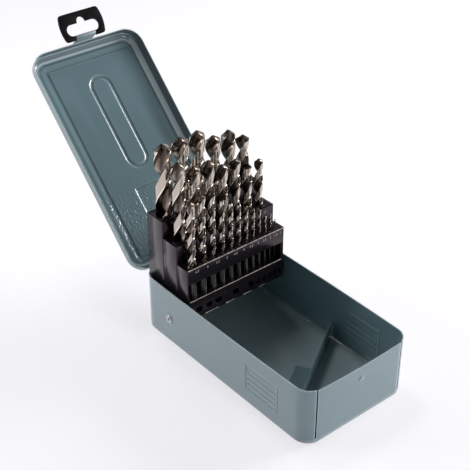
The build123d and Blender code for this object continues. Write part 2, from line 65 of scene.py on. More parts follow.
grip_pitch, grip_rib, grip_depth = 4.8 * mm, 2.4 * mm, 0.5 * mm
grip_ribs, grip_frame, grip_frame_rise = 5, 0.9 * mm, 23.5 * mm


def ramp(value, start, end):
    """0 before start, 1 after end, with a smooth rise between."""
    t = min(max((value - start) / (end - start), 0.0), 1.0)
    return t * t * (3 - 2 * t)


def stations(low, high, coarse, fine, zones):
    """Steps from low to high, fine inside the zones and coarse outside them."""
    places = [low]
    while places[-1] < high - 1e-9:
        here = places[-1]
        inside = any(a - fine <= here < b for a, b in zones)
        ahead = min([a for a, b in zones if a > here + 1e-9] + [high])
        step = fine if inside else coarse
        places.append(min(here + step, high if inside else ahead, high))
    return places


def ring(half_x, half_y, radius, xs, ys, turns, bow=0.0):
    """One level of a rounded rectangle, anticlockwise from the near wall's hinge end."""
    ax, ay = half_x - radius, half_y - radius
    points = []
    for quarter in range(4):
        along = xs if quarter % 2 == 0 else ys
        reach = (ax, ay)[quarter % 2]
        out = (half_y, half_x)[quarter % 2]
        swell = 0.0 if quarter == 3 else bow
        a = math.radians(-90 + 90 * quarter)
        n = Vector((math.cos(a), math.sin(a)))
        t = Vector((-n.y, n.x))
        for s in along:
            points.append(n * (out + swell * (1 - s * s)) + t * s * reach)
        centre = n * (out - radius) + t * reach
        for turn in turns:
            b = a + math.radians(turn)
            points.append(centre + radius * Vector((math.cos(b), math.sin(b))))
    return points


def pressed(point, outward):
    """How far the tray's wall is pressed out (or in) at a point."""
    if abs(outward.y) > 0.99:
        shift = 0.0
        end = min(point.x - grip_x, grip_x + grip_length - point.x)
        across = ramp(end, grip_frame, 2.2 * mm)
        for rib in range(grip_ribs):
            middle = grip_z + grip_rib / 2 + rib * grip_pitch
            past = grip_rib / 2 + 0.3 * mm - abs(point.z - middle)
            shift -= grip_depth * across * ramp(past, 0, 1.0 * mm)
        tall = ramp(min(point.z - grip_z + 1.5 * mm, grip_z + grip_frame_rise - point.z),
                    0, 1.5 * mm)
        shift -= grip_depth * tall * ramp(grip_frame - abs(end), 0, 0.8 * mm)
        away = math.hypot(point.x - pivot.x, point.z - pivot.z)
        return shift + boss_rise * ramp(boss_radius + 0.4 * mm - away, 0, 0.8 * mm)
    if outward.x > 0.99:
        away = math.hypot(point.y, point.z - bump_z) / bump_radius
        return bump_rise * max(0.0, 1 - away * away) ** 0.8
    return 0.0


def new_piece(name, vertices, faces):
    """A mesh object from its points and faces."""
    mesh = bpy.data.meshes.new(name)
    mesh.from_pydata([tuple(v) for v in vertices], [], faces)
    mesh.validate()
    piece = bpy.data.objects.new(name, mesh)
    bpy.context.scene.collection.objects.link(piece)
    return piece


def settle(piece, sharp=35):
    """Bakes the modifiers into the mesh and shades it smooth up to the sharp angle."""
    bpy.context.view_layer.update()
    graph = bpy.context.evaluated_depsgraph_get()
    mesh = bpy.data.meshes.new_from_object(piece.evaluated_get(graph))
    piece.modifiers.clear()
    piece.data = mesh
    mesh.shade_smooth()
    mesh.set_sharp_from_angle(angle=math.radians(sharp))


def mark_folds(piece, flat=70.0, full=420.0):
    """Stores how sharply the skin bends at each point: 1 on a crest, -1 in a crease; the enamel
    paints highlight on crests and shade in creases by it.
    """
    mesh = piece.data
    bend, spokes = [0.0] * len(mesh.vertices), [0] * len(mesh.vertices)
    for edge in mesh.edges:
        a, b = (mesh.vertices[index] for index in edge.vertices)
        along = b.co - a.co
        reach = max(along.length_squared, 1e-9)
        bend[a.index] -= a.normal.dot(along) / reach
        bend[b.index] += b.normal.dot(along) / reach
        spokes[a.index] += 1
        spokes[b.index] += 1
    layer = mesh.attributes.new("fold_light_shade", "FLOAT", "POINT")
    for item, total, count in zip(layer.data, bend, spokes):
        mean = total / max(count, 1)
        item.value = math.copysign(min(max(abs(mean) - flat, 0) / (full - flat), 1), mean)


def thicken(piece, thickness, edge):
    """Gives a skin its sheet thickness inwards, and eases the cut edges."""
    solid = piece.modifiers.new("sheet", "SOLIDIFY")
    solid.thickness = thickness
    solid.offset = -1
    solid.use_even_offset = True
    # the cut rims get the second slot, the lighter enamel of painted highlight
    solid.material_offset_rim = 1
    ease = piece.modifiers.new("edge", "BEVEL")
    ease.width = edge
    ease.segments = 2
    ease.limit_method = "ANGLE"
    ease.angle_limit = math.radians(50)


def mixed(tree, kind, factor, a, b):
    """A mix node of two colours or values by a factor socket."""
    node = tree.nodes.new("ShaderNodeMix")
    node.data_type = kind
    first, second, out = (6, 7, 2) if kind == "RGBA" else (2, 3, 0)
    tree.links.new(factor, node.inputs[0])
    node.inputs[first].default_value = a
    node.inputs[second].default_value = b
    return node.outputs[out]


def noise(tree, scale, detail=3, rough=0.5, stretch=(1, 1, 1)):
    """Noise in the piece's own space, in features per metre."""
    place = tree.nodes.new("ShaderNodeTexCoord")
    scaled = tree.nodes.new("ShaderNodeMapping")
    scaled.inputs["Scale"].default_value = stretch
    node = tree.nodes.new("ShaderNodeTexNoise")
    node.inputs["Scale"].default_value = scale
    node.inputs["Detail"].default_value = detail
    node.inputs["Roughness"].default_value = rough
    tree.links.new(place.outputs["Object"], scaled.inputs["Vector"])
    tree.links.new(scaled.outputs["Vector"], node.inputs["Vector"])
    return node.outputs["Fac"]


def roughened(tree, height, strength, distance):
    """A bump from a height, joined to the shader."""
    bump = tree.nodes.new("ShaderNodeBump")
    bump.inputs["Strength"].default_value = strength
    bump.inputs["Distance"].default_value = distance
    tree.links.new(height, bump.inputs["Height"])
    tree.links.new(bump.outputs["Normal"], tree.nodes["Principled BSDF"].inputs["Normal"])


def attribute(tree, name, low=0.0, high=1.0):
    """A stored value of the piece, spread from 0 at low to 1 at high."""
    stored = tree.nodes.new("ShaderNodeAttribute")
    stored.attribute_name = name
    spread = tree.nodes.new("ShaderNodeMapRange")
    spread.inputs["From Min"].default_value = low
    spread.inputs["From Max"].default_value = high
    tree.links.new(stored.outputs["Fac"], spread.inputs["Value"])
    return spread.outputs["Result"]


def finish(name):
    """A new material with its node tree and its shader."""
    material = bpy.data.materials.new(name)
    material.use_nodes = True
    return material, material.node_tree, material.node_tree.nodes["Principled BSDF"]


# colours of painted shade in creases and painted highlight on crests
painted_crease_shade, painted_crest_highlight = (0.065, 0.10, 0.112, 1), (0.58, 0.69, 0.72, 1)
peel_depth, pebble_depth = 0.25 * mm, 0.55 * mm


def enamel(name, light, dark, low_gloss, high_gloss, peel, coat):
    """Baked enamel on sheet steel with orange peel, lightened on crests by painted highlight and
    darkened in creases by painted shade.
    """
    material, tree, shader = finish(name)
    # painted shade in the creases, then painted highlight on the crests, by the stored bend
    crease_shaded = mixed(tree, "RGBA", attribute(tree, "fold_light_shade", 0.0, -1.0), light, painted_crease_shade)
    tree.links.new(mixed(tree, "RGBA", noise(tree, 28, 4), light, dark),
                   crease_shaded.node.inputs[6])
    crest_lit = mixed(tree, "RGBA", attribute(tree, "fold_light_shade", 0.0, 1.0), light, painted_crest_highlight)
    tree.links.new(crease_shaded, crest_lit.node.inputs[6])
    tree.links.new(crest_lit, shader.inputs["Base Color"])
    tree.links.new(mixed(tree, "FLOAT", noise(tree, 90, 3), low_gloss, high_gloss),
                   shader.inputs["Roughness"])
    shader.inputs["Coat Weight"].default_value = coat
    shader.inputs["Coat Roughness"].default_value = 0.07
    roughened(tree, noise(tree, 620, 2), peel, peel_depth)
    even = tree.nodes["Bump"]
    pebbled = tree.nodes.new("ShaderNodeBump")
    pebbled.inputs["Distance"].default_value = pebble_depth
    tree.links.new(attribute(tree, "orange_peel"), pebbled.inputs["Strength"])
    tree.links.new(noise(tree, 480, 1), pebbled.inputs["Height"])
    tree.links.new(even.outputs["Normal"], pebbled.inputs["Normal"])
    tree.links.new(pebbled.outputs["Normal"], shader.inputs["Normal"])
    tree.links.new(pebbled.outputs["Normal"], shader.inputs["Coat Normal"])
    return material


case_paint = enamel("case_enamel", (0.207, 0.318, 0.350, 1), (0.175, 0.280, 0.311, 1), 0.22, 0.27,
                    0.05, 1.0)
# a lighter copy of the case enamel on the cut rims and the tongue: painted highlight
edge_highlight_enamel = enamel("edge_highlight_enamel", (0.34, 0.43, 0.46, 1), (0.26, 0.35, 0.38, 1), 0.30, 0.45, 0.05, 0.3)

xs = [x / (half_length - corner) for x in stations(
    corner - half_length, half_length - corner, 4 * mm, 0.6 * mm,
    [(pivot.x - 6 * mm, pivot.x + 6 * mm), (grip_x - 2 * mm, grip_x + 4 * mm),
     (grip_x + grip_length - 4 * mm, grip_x + grip_length + 2 * mm)])]
ys = [y / (half_width - corner) for y in stations(
    corner - half_width, half_width - corner, 4 * mm, 0.5 * mm, [(-3.5 * mm, 3.5 * mm)])]
seam_turns = [math.degrees(math.asin((seam_y + k * seam_half - half_width + corner) / corner))
              for k in (-1, 1)]
turns = sorted([7, 24, 31, 38, 45, 52, 59, 66, 83] + seam_turns + [90 - t for t in seam_turns])
levels = stations(floor_bend, rim_z, 3 * mm, 0.6 * mm, [(10 * mm, 28 * mm), (33 * mm, 40 * mm)])
tray_points, tray_rows = [], []
for step in range(5):
    a = math.radians(90 * step / 4)
    draw = floor_bend * (1 - math.sin(a))
    tray_rows.append((floor_bend * (1 - math.cos(a)), draw))
tray_rows += [(z, 0.0) for z in levels[1:]]
for z, draw in tray_rows:
    level = ring(half_length - draw, half_width - draw, corner - draw, xs, ys, turns,
                 spring * z / rim_z)
    count = len(level)
    for index, p in enumerate(level):
        ahead, behind = level[(index + 1) % count], level[index - 1]
        outward = Vector(((ahead - behind).y, -(ahead - behind).x)).normalized()
        point = Vector((p.x, p.y, z))
        push = pressed(point, outward) if draw == 0 else 0
        top = z > rim_z - 1e-6 and p.x > 0 and abs(p.y) < seam_y
        point += Vector((outward.x * push, outward.y * push, -front_drop if top else 0))
        tray_points.append(point)
tray_faces = [list(reversed(range(count)))]
for row in range(len(tray_rows) - 1):
    for index in range(count):
        after = (index + 1) % count
        a, b = row * count + index, row * count + after
        middle = (tray_points[a] + tray_points[b]) / 2
        in_seam = middle.x > 0 and abs(abs(middle.y) - seam_y) < seam_half
        if in_seam and tray_rows[row][0] > seam_foot:
            continue
        tray_faces.append([a, b, b + count, a + count])
tray = new_piece("tray", tray_points, tray_faces)
tray.data.materials.append(case_paint)
tray.data.materials.append(edge_highlight_enamel)
thicken(tray, sheet, 0.12 * mm)
settle(tray)
mark_folds(tray)
# near black for the slit's cut faces and the laps: painted shade in the slit
slit_shade, slit_tree, slit_shader = finish("slit_painted_shade")
slit_tree.links.new(mixed(slit_tree, "RGBA", noise(slit_tree, 700), (0.012, 0.014, 0.014, 1),
                          (0.035, 0.036, 0.034, 1)), slit_shader.inputs["Base Color"])
slit_shader.inputs["Roughness"].default_value = 0.7
tray.data.materials.append(slit_shade)
for face in tray.data.polygons:
    at = face.center
    if (face.material_index == 1 and at.x > 85 * mm and abs(abs(at.y) - seam_y) < 1.2 * mm
            and at.z < rim_z - 1 * mm):
        face.material_index = 2
# its folds carry less painted shade and highlight than the lid's do, and the bend round the floor
# carries a painted highlight all along
wall_painted_light_share, floor_bend_highlight = 0.55, 0.45
bend = tray.data.attributes["fold_light_shade"].data
for item in bend:
    item.value *= wall_painted_light_share
for vertex in tray.data.vertices:
    if 0.5 * mm < vertex.co.z < 2.2 * mm and abs(vertex.co.y) < half_width - 0.7 * mm:
        bend[vertex.index].value = floor_bend_highlight
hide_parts("tray_body")
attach(tray, "case")

# the side wall's flange laps behind each seam; it and the slit's cut faces are near black, painted
# shade in the slit
lap_across = (-3.2 * mm, -0.5 * mm, 0.9 * mm, 2.4 * mm)
lap_foot, lap_top = 2.0 * mm, rim_z - 1.6 * mm
lap_front, lap_back = 0.85 * mm, 1.45 * mm
lap_points, lap_faces = [], []
for side in (-1, 1):
    first_lap = len(lap_points)
    for z in (lap_foot, lap_top):
        for y in [seam_y + off for off in lap_across]:
            drop = corner - math.sqrt(max(corner ** 2 - max(y - half_width + corner, 0) ** 2, 0))
            for deep_in in (lap_front, lap_back):
                lap_points.append((half_length - drop - deep_in, side * y, z))
    for k in range(3):
        a = first_lap + 2 * k
        for quad in ((a, a + 2, a + 10, a + 8), (a + 1, a + 9, a + 11, a + 3),
                     (a + 8, a + 10, a + 11, a + 9), (a, a + 1, a + 3, a + 2)):
            lap_faces.append(list(quad))
    for a in (first_lap, first_lap + 6):
        lap_faces.append([a, a + 1, a + 9, a + 8])
seam_laps = new_piece("seam_laps", lap_points, lap_faces)
cleaner = bmesh.new()
cleaner.from_mesh(seam_laps.data)
bmesh.ops.recalc_face_normals(cleaner, faces=cleaner.faces)
cleaner.to_mesh(seam_laps.data)
cleaner.free()
seam_laps.data.materials.append(slit_shade)
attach(seam_laps, "case")

# ------------------------------------------------------------------ stop, rest, spacers
# A folded plate across the tray that keeps the small drills in, spot-welded by its foot;
# the strip that the upright rack stands on; two plain washers beside the rack.
# The stop and the rest are sheet steel in the same enamel as the tray; the washers are bright
# steel.


def dress(node, material, edge=0.0, segments=2):
    """A CAD node's finish, with its sharp edges eased where an edge size is given."""
    piece = frame["nodes"][node]
    piece.data.materials.clear()
    piece.data.materials.append(material)
    if edge:
        join = piece.modifiers.new("join", "WELD")
        join.merge_threshold = 0.005 * mm
        ease = piece.modifiers.new("edge", "BEVEL")
        ease.width = edge
        ease.segments = segments
        ease.limit_method = "ANGLE"
        ease.angle_limit = math.radians(40)
        ease.harden_normals = True
    for face in piece.data.polygons:
        face.use_smooth = True
    return piece


dress("drill_stop", case_paint, 0.15 * mm)
dress("rack_rest", case_paint, 0.15 * mm)

bright, bright_tree, bright_shader = finish("bright_steel")
bright_shader.inputs["Metallic"].default_value = 1.0
bright_tree.links.new(mixed(bright_tree, "RGBA", noise(bright_tree, 300), (0.62, 0.59, 0.53, 1),
                            (0.45, 0.43, 0.40, 1)), bright_shader.inputs["Base Color"])
bright_tree.links.new(mixed(bright_tree, "FLOAT", noise(bright_tree, 700), 0.22, 0.38),
                      bright_shader.inputs["Roughness"])
dress("pivot_spacers", bright, 0.1 * mm)

# ------------------------------------------------------------------ rack
# Three folded covers, a stepped trough and a guide plate, all of 1 mm sheet in black enamel
# that shows a faint purple sheen; bright strips on its forward folds are wear and painted
# highlight.
rack_paint, rack_tree, rack_shader = finish("rack_enamel")
rack_tree.links.new(mixed(rack_tree, "RGBA", noise(rack_tree, 60, 5, 0.6),
                          (0.013, 0.009, 0.012, 1), (0.004, 0.003, 0.004, 1)),
                    rack_shader.inputs["Base Color"])
drawn_down = (1, 1, 0.25)
rack_tree.links.new(mixed(rack_tree, "FLOAT", noise(rack_tree, 240, 4, 0.6, drawn_down),
                          0.17, 0.27), rack_shader.inputs["Roughness"])
rack_shader.inputs["Specular IOR Level"].default_value = 0.6
rack_shader.inputs["Specular Tint"].default_value = (1.0, 0.80, 0.92, 1)
roughened(rack_tree, noise(rack_tree, 900, 3), 0.12, 0.2 * mm)
# bright bare metal for the forward folds: wear, and painted highlight on those edges
rub_and_glint, rub_glint_tree, rub_glint_shader = finish("fold_wear_and_painted_glint")
rub_glint_patches = rub_glint_tree.nodes.new("ShaderNodeValToRGB")
rub_glint_patches.color_ramp.elements[0].position = 0.32
rub_glint_patches.color_ramp.elements[1].position = 0.46
rub_glint_tree.links.new(noise(rub_glint_tree, 420, 4, 0.7), rub_glint_patches.inputs["Fac"])
rub_glint_tree.links.new(mixed(rub_glint_tree, "RGBA", rub_glint_patches.outputs["Color"], (0.03, 0.024, 0.028, 1),
                          (0.80, 0.73, 0.68, 1)), rub_glint_shader.inputs["Base Color"])
rub_glint_shader.inputs["Metallic"].default_value = 0.25
rub_glint_tree.links.new(mixed(rub_glint_tree, "FLOAT", noise(rub_glint_tree, 900), 0.25, 0.45),
                    rub_glint_shader.inputs["Roughness"])
for node in ("tier_back", "tier_middle", "tier_front", "rack_cradle", "guide_plate",
             "small_drill_seat"):
    dress(node, rack_paint, 0.0 if node == "guide_plate" else 0.2 * mm)


def wear_and_glint_edge(name, x, z, low_y, high_y, over, down):
    """Bare metal where the paint has rubbed off a fold that faces forward, also standing in as a
    painted highlight on that edge.
    """
    wear_glint_points, wear_glint_faces = [], []
    proud, pitch = 0.04 * mm, 1.2 * mm
    parts_along = max(int((high_y - low_y) / pitch), 4)
    for step in range(parts_along + 1):
        y = low_y + (high_y - low_y) * step / parts_along
        sway = 1 + 0.22 * math.sin(step * 1.7) + 0.18 * math.sin(step * 0.61 + 1)
        for dx, dz in ((-over * sway, 0), (-over * sway, proud), (-0.08 * mm, proud),
                       (proud, -0.08 * mm), (proud, -down * sway), (0, -down * sway)):
            wear_glint_points.append((x + dx, y, z + dz))
    for step in range(parts_along):
        for side in range(5):
            a = step * 6 + side
            wear_glint_faces.append([a, a + 1, a + 7, a + 6])
    strip = new_piece(name, wear_glint_points, wear_glint_faces)
    strip.data.materials.append(rub_and_glint)
    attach(strip, "rack")


front_low, front_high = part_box("tier_front")
cradle_low, cradle_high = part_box("rack_cradle")
apron_z, lip_z, end_gap = 29.95 * mm, 45.7 * mm, 1 * mm
apron_wear_glints = ((-31, -18.5), (-11, -2), (6, 14.5), (22, 28))
wear_and_glint_edge("front_fold_wear_glint", front_high.x, front_high.z, front_low.y + end_gap,
          front_high.y - end_gap, 0.5 * mm, 0.3 * mm)
for place, (low_y, high_y) in enumerate(apron_wear_glints):
    wear_and_glint_edge(f"apron_wear_glint_{place}", cradle_high.x, apron_z, low_y * mm, high_y * mm,
              0.05 * mm, 0.5 * mm)
wear_and_glint_edge("cradle_lip_wear_glint", cradle_high.x, lip_z, cradle_low.y + end_gap,
          cradle_high.y - end_gap, 0.4 * mm, 0.18 * mm)

# size marks printed on the three risers, under each drill: plain numbers
mark_size, mark_ink = 2.9 * mm, 0.04 * mm
printed, printed_tree, printed_shader = finish("size_print")
printed_tree.links.new(mixed(printed_tree, "RGBA", noise(printed_tree, 900, 4, 0.7),
                             (0.30, 0.27, 0.26, 1), (0.85, 0.80, 0.76, 1)),
                       printed_shader.inputs["Base Color"])
printed_shader.inputs["Roughness"].default_value = 0.5
rows = (("tier_back", (13, 12.5, 12, 11.5, 11, 10.5), 4.6 * mm),
        ("tier_middle", (10, 9.5, 9, 8.5, 8, 7.5, 7), 4.6 * mm),
        ("tier_front", (6.5, 6, 5.5, 5, 4.5, 4, 3.5, 3, 2.5, 2, 1.5, 1), 4.2 * mm))
marks = []
for node, sizes, below in rows:
    low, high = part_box(node)
    for size in sizes:
        text = bpy.data.curves.new("mark", "FONT")
        text.body = f"{size:g}"
        text.size = mark_size
        text.align_x = "CENTER"
        text.resolution_u = 2
        text.extrude = mark_ink / 2
        holder = bpy.data.objects.new("mark", text)
        drill_low, drill_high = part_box(f"drill_{float(size)}".replace(".", "_"))
        across = (drill_low.y + drill_high.y) / 2
        holder.matrix_world = (Matrix.Translation((high.x + mark_ink / 2, across, high.z - below))
                               @ Matrix.Rotation(math.radians(90), 4, "Z")
                               @ Matrix.Rotation(math.radians(90), 4, "X"))
        bpy.context.scene.collection.objects.link(holder)
        bpy.context.view_layer.update()
        mesh = bpy.data.meshes.new_from_object(
            holder.evaluated_get(bpy.context.evaluated_depsgraph_get()))
        mesh.transform(holder.matrix_world)
        bpy.data.objects.remove(holder)
        marks.append(mesh)
joined = bmesh.new()
for mesh in marks:
    joined.from_mesh(mesh)
size_marks = new_piece("size_marks", [], [])
joined.to_mesh(size_marks.data)
joined.free()
size_marks.data.materials.append(printed)
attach(size_marks, "rack")

# ------------------------------------------------------------------ twist drills
# Twenty-five rolled and ground high-speed steel drills with right-hand flutes, ground
# lands with a narrow margin, a 118 degree point with relieved lips, and plain shanks.
flute_lengths = {13.0: 101, 12.5: 101, 12.0: 101, 11.5: 94, 11.0: 94, 10.5: 87, 10.0: 87,
                 9.5: 81, 9.0: 81, 8.5: 75, 8.0: 75, 7.5: 69, 7.0: 69, 6.5: 57, 6.0: 57,
                 5.5: 57, 5.0: 52, 4.5: 47, 4.0: 43, 3.5: 39, 3.0: 33, 2.5: 30, 2.0: 24,
                 1.5: 18, 1.0: 12}
helix = math.radians(30)
point_slope = 1 / math.tan(math.radians(59))
half_web = 0.17              # in shares of the drill's radius, as all below
heel_reach, heel_turn = 0.965, math.radians(138)
margin_turn = math.radians(10)
land_reach = 0.968
lip_relief = 0.16
row_turn = math.radians(9)   # turn of a flute from one row of points to the next
# turn of each large drill in its hole, in degrees; the small ones turn by their size
turn_by_size = 40
turned = {13.0: 105, 12.5: 75, 12.0: 85, 11.5: 80, 11.0: 120, 10.5: 50, 10.0: 90, 9.5: 75,
          9.0: 95, 8.5: 80, 8.0: 60, 7.5: 20, 7.0: 70}

steel, steel_tree, steel_shader = finish("drill_steel")
steel_shader.inputs["Metallic"].default_value = 1.0
depth = steel_tree.nodes.new("ShaderNodeAttribute")
depth.attribute_name = "ground"
tone = steel_tree.nodes.new("ShaderNodeValToRGB")
tone.color_ramp.elements[0].position = 0.25
tone.color_ramp.elements[0].color = (0.075, 0.058, 0.046, 1)
tone.color_ramp.elements[1].position = 0.995
tone.color_ramp.elements[1].color = (0.96, 0.89, 0.80, 1)
for position, colour in ((0.60, (0.27, 0.22, 0.185, 1)), (0.90, (0.40, 0.345, 0.295, 1)),
                         (0.966, (0.52, 0.455, 0.39, 1))):
    tone.color_ramp.elements.new(position).color = colour
steel_tree.links.new(depth.outputs["Fac"], tone.inputs["Fac"])
steel_tree.links.new(tone.outputs["Color"], steel_shader.inputs["Base Color"])
steel_tree.links.new(mixed(steel_tree, "FLOAT", noise(steel_tree, 500, 4, 0.6, (1, 1, 3)),
                           0.15, 0.25), steel_shader.inputs["Roughness"])
roughened(steel_tree, noise(steel_tree, 1400, 2, 0.5, (1, 1, 4)), 0.05, 0.1 * mm)

# shank steel made far darker than ground steel is: painted shade of the rack's dark inside
shank_steel_painted_shade, shank_tree, shank_shader = finish("shank_steel_painted_shade")
shank_shader.inputs["Metallic"].default_value = 1.0
shank_shader.inputs["Anisotropic"].default_value = 1.0
shank_shader.inputs["Anisotropic Rotation"].default_value = 0.25
around_shank = shank_tree.nodes.new("ShaderNodeTangent")
around_shank.direction_type = "RADIAL"
around_shank.axis = "Z"
shank_tree.links.new(around_shank.outputs["Tangent"], shank_shader.inputs["Tangent"])
shank_tree.links.new(mixed(shank_tree, "RGBA", noise(shank_tree, 260, 3, 0.5, (1, 1, 2)),
                           (0.17, 0.155, 0.145, 1), (0.11, 0.105, 0.10, 1)),
                     shank_shader.inputs["Base Color"])
shank_tree.links.new(mixed(shank_tree, "FLOAT", noise(shank_tree, 900, 3, 0.5, (1, 1, 6)),
                           0.22, 0.28), shank_shader.inputs["Roughness"])


def flute_profile():
    """(angle, reach) round a drill's section at its point: heel, land, margin, lip face, flute."""
    half = []
    lip_turn = math.asin(half_web) + math.tan(helix) * (point_slope - half_web * lip_relief)
    heel_start = heel_turn - math.pi
    half += [(heel_start, heel_reach - 0.05), (heel_start + 0.05, heel_reach)]
    for step in range(1, 6):
        half.append((heel_start + 0.05 + (lip_turn - margin_turn - heel_start - 0.05) * step / 6,
                     land_reach))
    half += [(lip_turn - margin_turn, land_reach), (lip_turn - margin_turn + 0.05, 1.0),
             (lip_turn - 0.02, 1.0), (lip_turn + 0.01, 0.985)]
    for reach in (0.9, 0.8, 0.7, 0.6, 0.5, 0.42, 0.34):
        half.append((math.asin(half_web / reach)
                     + math.tan(helix) * (point_slope * reach - half_web * lip_relief), reach))
    first, second = Vector((0.19, 0.174)), Vector((-0.163, 0.047))
    third = Vector((math.cos(heel_turn), math.sin(heel_turn))) * (heel_reach - 0.05)
    for step in range(10):
        t = step / 10
        spot = first * (1 - t) ** 2 + second * 2 * t * (1 - t) + third * t * t
        half.append((math.atan2(spot.y, spot.x), spot.length))
    return half + [(angle + math.pi, reach) for angle, reach in half]


def flank(x, y):
    """Height of the ground point over a place in the section, nought at the middle."""
    if point_slope * x < lip_relief * y:
        x, y = -x, -y
    cone = ramp(math.hypot(x, y), 0.15, 0.6)
    slope = (1 - cone) * x + cone * math.hypot(x, y - half_web)
    return half_web * lip_relief - point_slope * slope - lip_relief * (half_web - y)


def ground_end(angle, reach, helix_turn):
    """Turn and height at which a flute line meets the ground point."""
    height = 0.0
    for _ in range(14):
        turn = angle + helix_turn * height
        height += 0.6 * (flank(reach * math.cos(turn), reach * math.sin(turn)) - height)
    return height


def turned_drill(name, size):
    """One drill in the place of its CAD node."""
    low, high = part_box(name)
    middle = Vector(((low.x + high.x) / 2, (low.y + high.y) / 2))
    radius = size / 2 * mm
    top = high.z
    start = top - flute_lengths[size] * mm
    rate = math.tan(helix) / radius
    outline = flute_profile()
    ends = [ground_end(angle, reach, math.tan(helix)) for angle, reach in outline]
    count = len(outline)
    rows = int((top - start) * rate / row_turn)
    own_turn = math.radians(turned.get(size, size * turn_by_size))
    points, ground = [], []

    def place(angle, reach, z):
        a = angle + own_turn
        points.append((middle.x + reach * radius * math.cos(a),
                       middle.y + reach * radius * math.sin(a), z))
        ground.append(reach)

    foot_turn = rate * (start - top)
    for angle, _ in outline:
        place(angle + foot_turn, 0.97, low.z)
    for angle, _ in outline:
        place(angle + foot_turn, 1.0, low.z + 0.03 * radius)
    for row in range(rows + 1):
        for (angle, reach), end in zip(outline, ends):
            z = start + (top + end * radius - start) * row / rows
            full = 1 + (reach - 1) * ramp(z, start, start + radius * 1.6)
            place(angle + rate * (z - top), full, z)
    body_rows = rows + 3
    for share in (0.75, 0.5, 0.25, 0.08):
        for (angle, reach), end in zip(outline, ends):
            turn = angle + math.tan(helix) * end
            x, y = share * reach * math.cos(turn), share * reach * math.sin(turn)
            place(turn, share * reach, top + radius * flank(x, y))
    faces = [list(reversed(range(count)))]
    for row in range(body_rows + 3):
        for index in range(count):
            after = (index + 1) % count
            a, b = row * count + index, row * count + after
            faces.append([a, b, b + count, a + count])
    faces.append([(body_rows + 3) * count + index for index in range(count)])
    drill = new_piece(name.replace("drill_", "twist_"), points, faces)
    layer = drill.data.attributes.new("ground", "FLOAT", "POINT")
    layer.data.foreach_set("value", ground)
    drill.data.materials.append(steel)
    drill.data.materials.append(shank_steel_painted_shade)
    for face in drill.data.polygons[:2 * count + 1]:
        face.material_index = 1
    drill.data.shade_smooth()
    drill.data.set_sharp_from_angle(angle=math.radians(38))
    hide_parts(name)
    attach(drill, "rack")


for size in flute_lengths:
    turned_drill("drill_" + str(size).replace(".", "_"), size)

# ------------------------------------------------------------------ rivets
# Two tubular steel rivets carry the rack.  Each has a rolled ring head outside the
# wall, an open bore, and a flat clinched end inside the rack's ear.
wall_y = half_width + 0.45 * mm
bore, shank, head = 1.3 * mm, 2.05 * mm, 3.1 * mm
inner_end = 43.8 * mm
lathe = [(bore, inner_end), (shank, inner_end), (head - 0.2 * mm, inner_end + 0.05 * mm),
         (head, inner_end + 0.4 * mm), (head - 0.2 * mm, inner_end + 0.78 * mm),
         (shank, inner_end + 0.8 * mm), (shank, wall_y), (head - 0.15 * mm, wall_y)]
for step in range(9):
    a = math.radians(-60 + 240 * step / 8)
    lathe.append(((head + bore) / 2 + (head - bore) / 2 * math.cos(a),
                  wall_y + 0.35 * mm + 0.42 * mm * math.sin(a)))
lathe.append((bore, wall_y))
rivet_points, rivet_faces = [], []
around = 40
for side in (-1, 1):
    base = len(rivet_points)
    for reach, y in lathe:
        for step in range(around):
            a = math.tau * step / around
            rivet_points.append((pivot.x + reach * math.cos(a), side * y,
                                 pivot.z + reach * math.sin(a)))
    for row in range(len(lathe)):
        for step in range(around):
            after = (step + 1) % around
            here, there = row * around, ((row + 1) % len(lathe)) * around
            quad = [base + here + step, base + here + after, base + there + after,
                    base + there + step]
            rivet_faces.append(quad if side < 0 else quad[::-1])
rivets = new_piece("rivets", rivet_points, rivet_faces)
rivets.data.materials.append(bright)
settle(rivets, 45)
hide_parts("pivot_rivets")
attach(rivets, "case")

# ------------------------------------------------------------------ hinge
# A pressed leaf with three rolled knuckles on the tray, a strip with two on the lid,
# and a headed steel pin through them.
dress("tray_hinge_leaf", case_paint, 0.1 * mm)
dress("lid_hinge_leaf", case_paint, 0.1 * mm)
dress("hinge_pin", bright, 0.15 * mm)

# ------------------------------------------------------------------ lid
# A pan drawn from 0.7 mm sheet with a large edge radius.  A bead runs round the panel,
# a long round-ended bead and a rectangular field are pressed into it, and both fields
# are plain.  It is laid out shut, then turned open about the hinge.
hinge = next(joint for joint in frame["joints"] if joint["name"] == "lid_hinge")
hinge_at = Vector(hinge["pos_m"])
opened = math.radians(135.6)         # how far the lid is turned back from shut
lid_sheet = 0.7 * mm
lid_back, lid_front = -94.0 * mm, 94.4 * mm
lid_middle, lid_half = (lid_back + lid_front) / 2, (lid_front - lid_back) / 2
lid_side = 50.9 * mm
lid_corner = 14.4 * mm
lid_rim, lid_depth, lid_edge = 41.7 * mm, 10.0 * mm, 5.5 * mm
lid_top = lid_rim + lid_depth
bead_band, bead_rise, bead_slope, bead_corner = 3.8 * mm, 0.6 * mm, 1.1 * mm, 5.0 * mm
bead_x, bead_half_x, bead_half_y = -0.7 * mm, 85.1 * mm, 41.7 * mm
pressing_y = 1.5 * mm
badge_x, badge_half, badge_radius, badge_band = 25.0 * mm, 41.5 * mm, 10.25 * mm, 3.0 * mm
field_x, field_half_x, field_half_y = -49.6 * mm, 19.4 * mm, 16.0 * mm


def ridge(distance, band, rise, slope):
    """Height of a pressed band whose middle is at distance zero."""
    return rise * ramp(band / 2 + slope / 2 - abs(distance), 0, slope)


